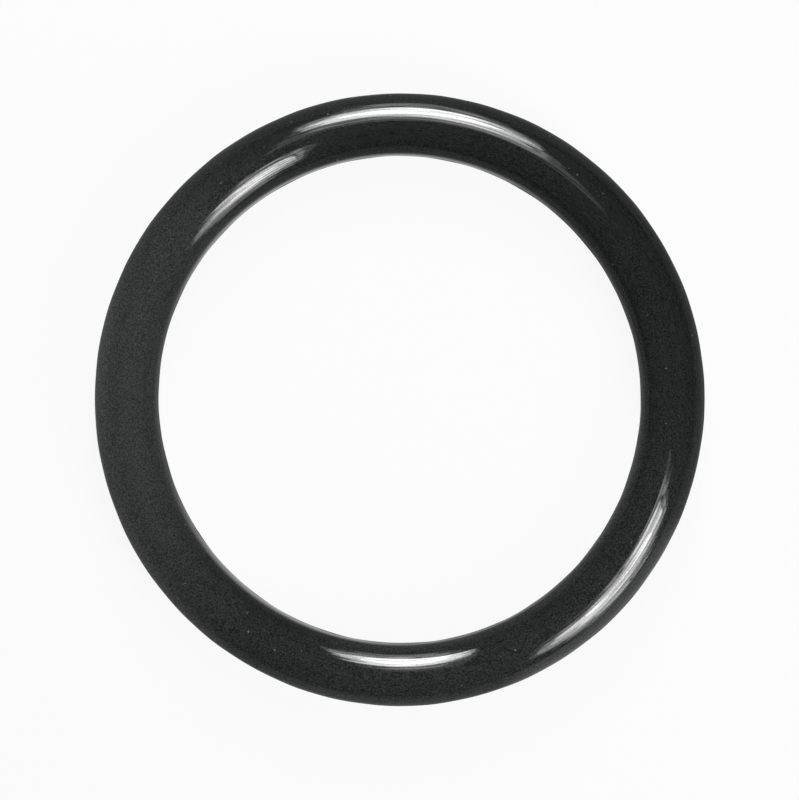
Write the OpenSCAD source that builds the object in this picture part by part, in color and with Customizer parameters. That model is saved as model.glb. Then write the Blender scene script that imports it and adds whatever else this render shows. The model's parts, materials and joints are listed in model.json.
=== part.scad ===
// Moulded rubber sealing ring of round section.
// It lies flat, with its axis along Z and its middle plane at Z = 0.
// A fine line of trimmed flash runs round it inside and outside, on that plane,
// where the two halves of the mould met.

/* [Ring] */
// Inside diameter of the free ring, measured without the flash line
inside_d = 20.29; // [4:0.01:60]
// Diameter of the round section, which is also the ring's thickness
section_d = 2.62; // [1:0.01:7]

/* [Flash line] */
// How far the trimmed flash stands out of the section
flash_h = 0.03; // [0.01:0.005:0.08]
// Width of the worn crest of the flash line, along the ring's axis
crest_w = 0.08; // [0.04:0.01:0.15]
// Slope of the flash line's two sides, measured from the crest's outward direction
flank_angle = 35; // [20:1:50]

/* [Hidden] */

section_r = section_d / 2;
// Radius of the circle that the section's centre runs round
ring_r = inside_d / 2 + section_r;
// The flash line's foot reaches no further than this from the middle plane
foot_reach = crest_w / 2 + 2 * flash_h * tan(flank_angle);
// The foot is sunk by this much, so that it joins the round section all along
root_depth = section_r - sqrt(section_r * section_r - foot_reach * foot_reach);
// Half the width of the flash line where its sides reach that depth
foot_half = crest_w / 2 + (flash_h + root_depth) * tan(flank_angle);

rubber_black = [0.13, 0.14, 0.14];

// A strip across the section, whose two ends are the flash lines inside and outside
module flash_strip() {
    crest_x = section_r + flash_h;
    foot_x = section_r - root_depth;
    crest_y = crest_w / 2;
    polygon([
        [-foot_x, -foot_half],
        [foot_x, -foot_half],
        [crest_x, -crest_y],
        [crest_x, crest_y],
        [foot_x, foot_half],
        [-foot_x, foot_half],
        [-crest_x, crest_y],
        [-crest_x, -crest_y]
    ]);
}

// The section as it comes out of the mould
module moulded_section() {
    circle(r = section_r, $fn = 96);
    flash_strip();
}

module o_ring() {
    color(rubber_black)
        rotate_extrude($fn = 240)
            translate([ring_r, 0]) moulded_section();
}

o_ring();
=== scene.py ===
import json
import math

import bpy
import numpy as np
from mathutils import Matrix, Vector


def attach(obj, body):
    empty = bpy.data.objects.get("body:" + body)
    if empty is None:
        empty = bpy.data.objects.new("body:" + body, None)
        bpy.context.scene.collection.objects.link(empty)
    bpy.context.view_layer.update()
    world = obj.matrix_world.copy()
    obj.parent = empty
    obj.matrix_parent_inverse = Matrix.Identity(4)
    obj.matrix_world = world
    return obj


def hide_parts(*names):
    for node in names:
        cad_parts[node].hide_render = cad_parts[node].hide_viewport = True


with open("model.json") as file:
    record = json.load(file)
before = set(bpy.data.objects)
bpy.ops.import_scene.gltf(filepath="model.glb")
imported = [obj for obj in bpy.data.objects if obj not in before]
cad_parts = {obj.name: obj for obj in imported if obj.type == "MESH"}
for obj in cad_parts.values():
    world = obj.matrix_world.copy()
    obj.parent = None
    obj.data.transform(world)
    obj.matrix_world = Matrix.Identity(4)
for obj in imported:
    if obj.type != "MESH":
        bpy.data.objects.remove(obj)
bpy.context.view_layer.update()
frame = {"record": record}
print("frame loaded")

mm = 0.001
white = (1, 1, 1, 1)

# the two seats in the record are the crests of the flash line, inside and outside
seats = {mount["name"]: mount["dims"]["r_mm"] * mm for mount in frame["record"]["mounts"]}
innerCrest = seats["shaft_seal"]
outerCrest = seats["housing_seal"]


# Shader graphs

class Wire:
    # one output of a node; sums, products and powers of wires add Math nodes
    def __init__(self, graph, socket):
        self.graph = graph
        self.socket = socket

    def math(self, operation, first, second=0.0):
        return self.graph.add("ShaderNodeMath", {"operation": operation}, {0: first, 1: second})

    def __add__(self, other):
        return self.math("ADD", self, other)

    def __sub__(self, other):
        return self.math("SUBTRACT", self, other)

    def __rsub__(self, other):
        return self.math("SUBTRACT", other, self)

    def __mul__(self, other):
        return self.math("MULTIPLY", self, other)

    def __truediv__(self, other):
        return self.math("DIVIDE", self, other)

    def __pow__(self, other):
        return self.math("POWER", self, other)

    def __abs__(self):
        return self.math("ABSOLUTE", self)

    __radd__ = __add__
    __rmul__ = __mul__

    def orMore(self, other):
        # the greater of the two
        return self.math("MAXIMUM", self, other)


class Graph:
    # the nodes of a material, a lamp or the world
    def __init__(self, owner):
        owner.use_nodes = True
        self.tree = owner.node_tree
        self.tree.nodes.clear()

    def add(self, kind, settings=None, values=None, output=0):
        node = self.tree.nodes.new(kind)
        for name, value in (settings or {}).items():
            setattr(node, name, value)
        for name, value in (values or {}).items():
            if isinstance(value, Wire):
                self.tree.links.new(value.socket, node.inputs[name])
            else:
                node.inputs[name].default_value = value
        return Wire(self, node.outputs[output]) if node.outputs else node

    def parts(self, vector):
        # the three numbers of a vector
        split = self.add("ShaderNodeSeparateXYZ", {}, {0: vector})
        return [Wire(self, output) for output in split.socket.node.outputs]

    def ramp(self, value, start, end, low=0.0, high=1.0):
        # goes smoothly from low to high as value goes from start to end
        return self.add(
            "ShaderNodeMapRange",
            {"interpolation_type": "SMOOTHSTEP"},
            {"Value": value, "From Min": start, "From Max": end, "To Min": low, "To Max": high},
        )

    def mix(self, factor, first, second):
        # from the first colour to the second
        return self.add(
            "ShaderNodeMix",
            {"data_type": "RGBA"},
            {"Factor": factor, 6: first, 7: second},
            output=2,
        )


# The ring's surface

ring = {
    "stepsRound": 420,            # faces round the ring
    "stepsAcross": 216,           # faces round the section, apart from those on the flash line
    "flashHeight": 0.03 * mm,     # how far the untrimmed flash stands out of the section
    "crestWidth": 0.08 * mm,      # along the ring's axis
    "footWidth": 0.13 * mm,
    "clearOfFoot": 1.8,           # where the plain rows begin, in half foot widths
    "trim": 0.55,                 # share of the flash that the trim leaves
    "trimChange": 0.17,
    # how the trim comes and goes: (times round, share, phase)
    "trimOutside": [(7, 1.0, 0.7), (17, 1.0, 2.1), (41, 0.6, 5.0)],
    "trimInside": [(5, 1.0, 3.3), (19, 1.0, 0.2), (37, 0.6, 1.1)],
    # how far the free ring is from a true circle: (times round, outward shift, degrees of the first peak)
    "wander": [(2, 0.041 * mm, 96), (3, 0.013 * mm, 44)],
    # a free ring lies a little saddle-shaped, and only its shading shows it here:
    # (times round, height, degrees of a peak)
    "sags": [(2, 0.38 * mm, 8.8), (3, 0.07 * mm, 15.5), (4, 0.02 * mm, 2.7)],
    # slow waves of the moulding: (times round the ring, times round the section, height, phase, phase)
    "swells": [
        (2, 2, 0.0165 * mm, -2.46, 0.0),
        (5, 3, 0.002 * mm, 1.9, 0.6),
        (9, 2, 0.0012 * mm, 4.1, 2.2),
    ],
    # fine lines that run round the ring, copied from the turned mould, with the same five values
    "turningMarks": [
        (2, 29, 0.0008 * mm, 0.3, 1.2),
        (-3, 43, 0.0005 * mm, 2.6, 0.1),
        (5, 58, 0.0005 * mm, 5.1, 3.4),
        (-4, 71, 0.0004 * mm, 1.1, 2.4),
    ],
}

ringRadius = (innerCrest + outerCrest) / 2
sectionRadius = (outerCrest - innerCrest) / 2 - ring["flashHeight"]


def flashAngles():
    # angles from the ring's middle plane at which the flash line needs a row of points
    crest = ring["crestWidth"] / 2 / sectionRadius
    foot = ring["footWidth"] / 2 / sectionRadius
    flank = (crest + foot) / 2
    clear = ring["clearOfFoot"] * foot
    return np.array([-clear, -foot, -flank, -crest, 0, crest, flank, foot, clear])


def sectionAngles():
    # angles round the section from its top: even steps, and the flash line's own rows inside and outside
    nearFlash = flashAngles()
    gap = nearFlash[-1]
    half = ring["stepsAcross"] // 2
    overTop = np.linspace(-math.pi / 2 + gap, math.pi / 2 - gap, half + 1)[1:-1]
    return np.concatenate([
        overTop,
        math.pi / 2 + nearFlash,
        overTop + math.pi,
        3 * math.pi / 2 + nearFlash,
    ])


def trimWave(turn, waves):
    # sum of sine waves round the ring
    return sum(share * np.sin(times * turn + phase) for times, share, phase in waves)


def flashRidge(turn, across):
    # height of the flash line: flat crest, straight sides, and a trim that comes and goes round the ring
    crest = ring["crestWidth"] / 2
    foot = ring["footWidth"] / 2
    away = np.abs(np.abs(np.arctan2(np.sin(across), np.cos(across))) - math.pi / 2) * sectionRadius
    outside = np.sin(across) > 0
    ragged = np.where(outside, trimWave(turn, ring["trimOutside"]), trimWave(turn, ring["trimInside"]))
    trim = ring["trim"] + ring["trimChange"] * ragged
    return ring["flashHeight"] * trim * np.clip((foot - away) / (foot - crest), 0, 1)


def waveHeight(turn, across):
    # sum of sine waves over the surface
    total = np.zeros(np.broadcast(turn, across).shape)
    for timesRound, timesAcross, height, phaseRound, phaseAcross in ring["swells"] + ring["turningMarks"]:
        total += height * np.sin(timesRound * turn + phaseRound + timesAcross * across + phaseAcross)
    return total


def ringPoints(turn, across):
    # a circle carried round a nearly true circle, pushed out along its own radius
    # by the waves and the flash line
    reach = sectionRadius + waveHeight(turn, across) + flashRidge(turn, across)
    fromAxis = ringRadius + reach * np.sin(across)
    for times, shift, peak in ring["wander"]:
        fromAxis = fromAxis + shift * np.cos(times * (turn - math.radians(peak)))
    return np.stack([
        fromAxis * np.cos(turn),
        fromAxis * np.sin(turn),
        reach * np.cos(across) + 0 * turn,
    ], axis=-1)


def saddleSlope(turn):
    # slope of the free ring along itself, from cosine waves in its height
    return sum(
        -times * height / ringRadius * np.sin(times * (turn - math.radians(peak)))
        for times, height, peak in ring["sags"]
    )


def ringNormals(turn, across):
    # cross product of the two slopes of the surface, then leaned along the ring by the saddle's slope
    step = 1e-4
    along = ringPoints(turn + step, across) - ringPoints(turn - step, across)
    around = ringPoints(turn, across + step) - ringPoints(turn, across - step)
    normals = np.cross(around, along)
    normals /= np.linalg.norm(normals, axis=-1, keepdims=True)
    lean = -saddleSlope(turn) * normals[..., 2]
    normals[..., 0] -= lean * np.sin(turn)
    normals[..., 1] += lean * np.cos(turn)
    return normals / np.linalg.norm(normals, axis=-1, keepdims=True)


def closedGrid(name, points, normals):
    # quads on a grid of points that closes on itself both ways, facing outwards
    rows, columns = points.shape[:2]
    index = np.arange(rows * columns).reshape(rows, columns)
    nextRow = np.roll(index, -1, axis=0)
    nextColumn = np.roll(index, -1, axis=1)
    corner = np.roll(nextRow, -1, axis=1)
    quads = np.stack([index, nextColumn, corner, nextRow], axis=-1).reshape(-1, 4)
    mesh = bpy.data.meshes.new(name)
    mesh.from_pydata(points.reshape(-1, 3), [], quads)
    mesh.polygons.foreach_set("use_smooth", np.ones(len(quads), dtype=bool))
    mesh.update()
    mesh.normals_split_custom_set_from_vertices(normals.reshape(-1, 3).tolist())
    piece = bpy.data.objects.new(name, mesh)
    bpy.context.scene.collection.objects.link(piece)
    return piece


def makeRing():
    # the section's angles swept over a full turn
    turn = np.linspace(0, 2 * math.pi, ring["stepsRound"], endpoint=False)[:, None]
    across = sectionAngles()[None, :]
    return closedGrid("mouldedRing", ringPoints(turn, across), ringNormals(turn, across))


# Black rubber

rubber = {
    "darkest": (0.0165, 0.0182, 0.0178, 1),
    "usual": (0.0270, 0.0290, 0.0286, 1),
    "hazed": (0.0525, 0.0546, 0.0546, 1),
    "dust": (0.22, 0.225, 0.225, 1),
    # sides of the ring, in degrees round it from the right of the picture
    "darkSide": 55,                 # blackest
    "hazeSide": 180,                # under a dry haze
    "counterShadeSide": 30,                 # painted shade and light against the lamps' shading: inner wall painted greyer, outer wall blacker, the reverse on the far side
    "paintedLightSide": 198,                 # outer wall painted palest, a painted light on the wall that the lamps leave in shade
    "paintedShadeSide": 122,               # outer wall painted darker, a painted shade on the wall that the lamps light most
    "rubbedSide": 314,              # outer wall rubbed shiny
    # how far round they reach: none and full, where 1 is towards that side and -1 away from it
    "lighterFade": (-1.05, 0.1),    # away from the dark side
    "hazeFade": (0.5, 1.02),
    "paintedLightFade": (0.7, 1.0),
    "paintedShadeFade": (0.8, 1.0),
    "rubbedFade": (0.88, 0.98),
    # how far out they reach, where 1 is the outermost line of the ring and -1 the innermost
    "wallReach": (0.3, 0.9),
    "rubbedReach": (0.4, 0.6),
    # how much they do
    "counterShadeBy": 0.45,
    "paintedLightBy": 0.75,
    "paintedShadeBy": 0.28,
    "rubbedShine": 0.28,
    "hazeDulls": 0.5,
    # cloudy edges of the dark side and the haze
    "cloudsPerMm": 0.5,
    "darkClouds": 0.5,
    "hazeClouds": 0.3,
    # grain of the surface
    "grainsPerMm": 14.0,
    "grainSpan": (0.3, 0.7),        # the part of the noise that is used
    "grainDark": 0.1,               # share of the colour in the darkest grains
    "grainLight": 1.9,              # and in the lightest
    "hazeEvens": 0.35,              # how much the haze brings those together
    "grainShine": (0.86, 1.1),
    "grainBump": 0.3,
    # dust, at most one speck in a cell
    "cellsPerMm": 2.7,
    "dustReach": (0.055, 0.025),    # mm from a speck's middle at which it ends and at which it is full
    "dustRarity": 0.12,             # more leaves fewer specks
    # fine lines round the ring, from the turned mould
    "linesPerMm": 15.0,
    "lineDrift": 0.22,              # how soon they change along their way
    "lineSpan": (0.38, 0.55),
    "lineShine": (0.52, 1.08),
    "bumpHeight": 0.004 * mm,
    # gloss
    "roughness": 0.45,
    "roughnessChange": 0.04,
    "roughnessSpan": (0.2, 0.8),
    "specular": 0.03,
    "brushed": 0.8,
    "brushedTurn": 0.25,
    "coatRoughness": 0.03,
    "coatIor": 1.9,
    "polishFade": (0.715, 0.815),   # steepness at which the mould's polish begins and is full
    "polishSkew": 0.025,            # how much higher that is on the outer wall
    "polishShine": (0.09, 1.0),
    # the innermost rim, shiny at the top and bottom of the picture
    "rimFade": (0.5, 1.0),
    "rimSkew": 0.25,
    "rimShine": (0.15, 1.0),
    "rimReach": (-0.86, -0.97),
}


def rubberMaterial():
    material = bpy.data.materials.new("blackRubber")
    graph = Graph(material)
    place = graph.add("ShaderNodeTexCoord", output=3)
    inMm = graph.add("ShaderNodeVectorMath", {"operation": "SCALE"}, {0: place, "Scale": 1 / mm})
    x, y, z = graph.parts(inMm)
    fromAxis = (x * x + y * y) ** 0.5
    steepness = abs(z) / (sectionRadius / mm)                            # 1 on the crown, 0 on the flash line
    outwards = (fromAxis - ringRadius / mm) / (sectionRadius / mm)       # 1 outside, -1 inside

    def towards(degrees):
        # 1 on the side of the ring that faces this way, -1 on the far side
        angle = math.radians(degrees)
        return (x * math.cos(angle) + y * math.sin(angle)) / fromAxis

    # even black, blackest on one side, with a dry haze on another
    grain = graph.add(
        "ShaderNodeTexNoise",
        {},
        {"Vector": inMm, "Scale": rubber["grainsPerMm"], "Detail": 2.0, "Roughness": 0.75},
    )
    cloud = graph.add(
        "ShaderNodeTexNoise", {}, {"Vector": inMm, "Scale": rubber["cloudsPerMm"], "Detail": 3.0}
    )
    lighter = graph.ramp(
        towards(rubber["darkSide"] + 180) + (cloud - 0.5) * rubber["darkClouds"],
        *rubber["lighterFade"],
    )
    hazed = graph.ramp(
        towards(rubber["hazeSide"]) + (cloud - 0.5) * rubber["hazeClouds"],
        *rubber["hazeFade"],
    )
    tone = graph.mix(lighter, rubber["darkest"], rubber["usual"])
    tone = graph.mix(hazed, tone, rubber["hazed"])

    # painted light and shade: the walls are painted lighter on the sides that the lamps leave in shade and
    # darker where they light them, which evens out the lamps' shading
    paintedShading = 1 - outwards * towards(rubber["counterShadeSide"]) * rubber["counterShadeBy"]
    # painted light on the outer wall that the lamps leave in shade, and painted shade on the outer wall that
    # they light most
    paintedLight = graph.ramp(towards(rubber["paintedLightSide"]), *rubber["paintedLightFade"]) * rubber["paintedLightBy"]
    paintedShade = graph.ramp(towards(rubber["paintedShadeSide"]), *rubber["paintedShadeFade"]) * rubber["paintedShadeBy"]
    paintedShading = paintedShading * ((paintedLight - paintedShade) * graph.ramp(outwards, *rubber["wallReach"]) + 1)
    evened = hazed * rubber["hazeEvens"]
    mottle = graph.ramp(
        grain, *rubber["grainSpan"], evened + rubber["grainDark"], rubber["grainLight"] - evened
    )
    mottled = graph.add(
        "ShaderNodeVectorMath", {"operation": "SCALE"}, {0: tone, "Scale": mottle * paintedShading}
    )

    # grey dust: one speck in some of the cells
    cells = graph.add("ShaderNodeTexVoronoi", {}, {"Vector": inMm, "Scale": rubber["cellsPerMm"]})
    cellColour = Wire(graph, cells.socket.node.outputs["Color"])
    chosen = graph.add("ShaderNodeSeparateColor", {}, {0: cellColour})
    speck = graph.ramp(
        cells / rubber["cellsPerMm"] + (1 - chosen) * rubber["dustRarity"],
        *rubber["dustReach"],
    )
    colour = graph.mix(speck, mottled, rubber["dust"])

    # fine lines, close together across the ring and slow to change along it
    across = rubber["linesPerMm"]
    drift = rubber["lineDrift"]
    lines = graph.add("ShaderNodeCombineXYZ", {}, {0: fromAxis * across, 1: z * across, 2: x * drift})
    turning = graph.add(
        "ShaderNodeTexNoise",
        {"noise_dimensions": "4D"},
        {"Vector": lines, "W": y * drift, "Scale": 1.0, "Detail": 1.0},
    )
    bump = graph.add(
        "ShaderNodeBump",
        {},
        {
            "Strength": 1.0,
            "Distance": rubber["bumpHeight"],
            "Height": turning + grain * rubber["grainBump"],
        },
    )

    # the crown took the mould's polish, in fine lines, and the haze dulls it; the trimmed sides next to
    # the flash line are dull, but for the part that is rubbed and the very rims
    polish = graph.ramp(
        steepness - outwards * rubber["polishSkew"], *rubber["polishFade"], *rubber["polishShine"]
    )
    polish = polish * graph.ramp(turning, *rubber["lineSpan"], *rubber["lineShine"])
    polish = polish * graph.ramp(grain, *rubber["grainSpan"], *rubber["grainShine"])
    polish = polish * (1 - hazed * rubber["hazeDulls"])
    rubbed = graph.ramp(towards(rubber["rubbedSide"]), *rubber["rubbedFade"], 0.0, rubber["rubbedShine"])
    rubbed = rubbed * graph.ramp(outwards, *rubber["rubbedReach"])
    rim = graph.ramp(
        abs(y / fromAxis) - x / fromAxis * rubber["rimSkew"], *rubber["rimFade"], *rubber["rimShine"]
    )
    rim = rim * graph.ramp(outwards, *rubber["rimReach"])
    polish = polish.orMore(rubbed + rim)
    smoothest = rubber["roughness"] - rubber["roughnessChange"]
    roughest = rubber["roughness"] + rubber["roughnessChange"]
    shader = graph.add(
        "ShaderNodeBsdfPrincipled",
        {},
        {
            "Base Color": colour,
            "Roughness": graph.ramp(grain, *rubber["roughnessSpan"], smoothest, roughest),
            "Normal": bump,
            "Specular IOR Level": rubber["specular"],
            "Anisotropic": rubber["brushed"],
            "Anisotropic Rotation": rubber["brushedTurn"],
            "Coat Weight": polish * (1 - speck),
            "Coat Roughness": rubber["coatRoughness"],
            "Coat IOR": rubber["coatIor"],
        },
    )
    graph.add("ShaderNodeOutputMaterial", {}, {"Surface": shader})
    return material


body = makeRing()
body.data.materials.append(rubberMaterial())
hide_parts("o_ring")
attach(body, "root")
print("ring made")


# The table it lies on

table = {
    "size": 3.0,
    "colour": (0.86, 0.86, 0.86, 1),
    "selfWhite": 0.92,    # share of the white that no shadow reaches
}


def makeTable():
    # one flat square at the height of the ring's lowest point
    half = table["size"] / 2
    height = min(vertex.co.z for vertex in body.data.vertices)
    corners = [(-half, -half, height), (half, -half, height), (half, half, height), (-half, half, height)]
    mesh = bpy.data.meshes.new("table")
    mesh.from_pydata(corners, [], [(0, 1, 2, 3)])
    top = bpy.data.objects.new("table", mesh)
    bpy.context.scene.collection.objects.link(top)
    material = bpy.data.materials.new("tableWhite")
    graph = Graph(material)
    plain = graph.add("ShaderNodeBsdfDiffuse", {}, {"Color": table["colour"]})
    bright = graph.add("ShaderNodeEmission", {}, {"Color": white, "Strength": 1.0})
    rays = graph.add("ShaderNodeLightPath").socket.node.outputs
    seen = Wire(graph, rays["Is Camera Ray"])
    for kind in ("Is Glossy Ray", "Is Transmission Ray"):
        seen = seen.orMore(Wire(graph, rays[kind]))
    both = graph.add("ShaderNodeMixShader", {}, {0: seen * table["selfWhite"], 1: plain, 2: bright})
    graph.add("ShaderNodeOutputMaterial", {}, {"Surface": both})
    mesh.materials.append(material)


makeTable()
print("table made")


# Lamps

lamps = {
    # way: degrees round from the right of the picture; tilt: degrees from straight up.
    # glow: patches of brightness, each laid over the one before, as
    # (half width, bottom, top, brightness) in shares of the lamp's distance; the first covers the panel
    "upperLamp": {
        "way": 87.6,
        "tilt": 50,
        "glow": [
            (0.310, -1.05, 0.75, 0.36), (0.285, -0.72, 0.56, 1.4), (0.270, -0.40, 0.45, 0.25),
            (0.270, -0.37, 0.41, 3.2), (0.248, -0.29, 0.31, 6.5), (0.180, -0.21, 0.19, 11.5),
        ],
    },
    "lowerLamp": {
        "way": -46.6,
        "tilt": 46,
        "glow": [
            (0.275, -1.15, 0.65, 0.36), (0.245, -0.90, 0.53, 1.8), (0.205, -0.63, 0.45, 0.25),
            (0.205, -0.60, 0.40, 3.4), (0.178, -0.35, 0.35, 6.2), (0.110, -0.18, 0.18, 10),
        ],
    },
}
panel = {
    "distance": 14,          # in ring radii; the sizes below are shares of it
    "halfWidth": 0.50,
    "bottom": -0.80,
    "top": 0.75,
    "roundness": 1.8,        # 1 makes the patches of glow diamonds, more makes them rounder
    "edge": (0.97, 1.03),    # where a patch begins to fade and where it ends
    "fan": 0.2,              # how much the patches narrow towards the top
}
roomColour = (0.05, 0.05, 0.052, 1)


def makeLamp(name, lamp):
    # a soft panel that faces the ring, bright in its middle and dim towards its rim
    way = math.radians(lamp["way"])
    tilt = math.radians(lamp["tilt"])
    back = Vector((math.sin(tilt) * math.cos(way), math.sin(tilt) * math.sin(way), math.cos(tilt)))
    sideways = Vector((-math.sin(way), math.cos(way), 0))
    upwards = back.cross(sideways)
    distance = panel["distance"] * ringRadius
    width = 2 * panel["halfWidth"]
    length = panel["top"] - panel["bottom"]
    data = bpy.data.lights.new(name, "AREA")
    data.shape = "RECTANGLE"
    data.size = width * distance
    data.size_y = length * distance
    data.energy = math.pi * data.size * data.size_y      # makes 1 in the glow a brightness of 1
    place = back * distance + upwards * distance * (panel["top"] + panel["bottom"]) / 2
    holder = bpy.data.objects.new(name, data)
    holder.matrix_world = Matrix.Translation(place) @ Matrix((sideways, upwards, back)).transposed().to_4x4()
    bpy.context.scene.collection.objects.link(holder)

    graph = Graph(data)
    where = graph.add("ShaderNodeNewGeometry", output=5)      # 0 to 1 over the panel, both ways
    x, y, _ = graph.parts(where)
    y = y * length + panel["bottom"]
    x = (x - 0.5) * width / (1 - y * panel["fan"])
    total = 0.0
    below = 0.0
    for halfWidth, bottom, top, brightness in lamp["glow"]:
        across = abs(x / halfWidth) ** panel["roundness"]         # each patch is a lens with pointed ends
        along = abs((y - (top + bottom) / 2) / ((top - bottom) / 2))
        total = graph.ramp(across + along, *panel["edge"], brightness - below, 0.0) + total
        below = brightness
    light = graph.add("ShaderNodeEmission", {}, {"Color": white, "Strength": total})
    graph.add("ShaderNodeOutputLight", {}, {"Surface": light})


def makeRoom():
    # an even, very dim grey all round
    world = bpy.data.worlds.new("room")
    bpy.context.scene.world = world
    graph = Graph(world)
    dim = graph.add("ShaderNodeBackground", {}, {"Color": roomColour, "Strength": 1.0})
    graph.add("ShaderNodeOutputWorld", {}, {"Surface": dim})


for name, lamp in lamps.items():
    makeLamp(name, lamp)
makeRoom()
print("lamps made")


# Camera, straight above the ring

picture = {
    "width": 799,
    "height": 800,
    "ringCentre": (399.3, 398.9),    # pixels from the left and from the top
    "outerRadius": 305.6,            # of the ring's outline, in pixels
    "ringRadiiAway": 20,             # height above the ring's middle plane
    "sensor": 36,
    "clip": 100,                     # nearest and furthest view, as a share and a multiple of that height
}


def makeCamera():
    longSide = max(picture["width"], picture["height"])
    height = picture["ringRadiiAway"] * ringRadius
    # the trim leaves about half of the flash, and that is the outline
    perPixel = (outerCrest - 0.5 * ring["flashHeight"]) / picture["outerRadius"]
    data = bpy.data.cameras.new("camera")
    data.sensor_width = picture["sensor"]
    data.lens = data.sensor_width * height / (perPixel * longSide)
    data.clip_start = height / picture["clip"]
    data.clip_end = height * picture["clip"]
    camera = bpy.data.objects.new("camera", data)
    camera.location = (
        ((picture["width"] - 1) / 2 - picture["ringCentre"][0]) * perPixel,
        (picture["ringCentre"][1] - (picture["height"] - 1) / 2) * perPixel,
        height,
    )
    bpy.context.scene.collection.objects.link(camera)
    bpy.context.scene.camera = camera


makeCamera()
bpy.context.scene.view_settings.view_transform = "Standard"
print("camera made")
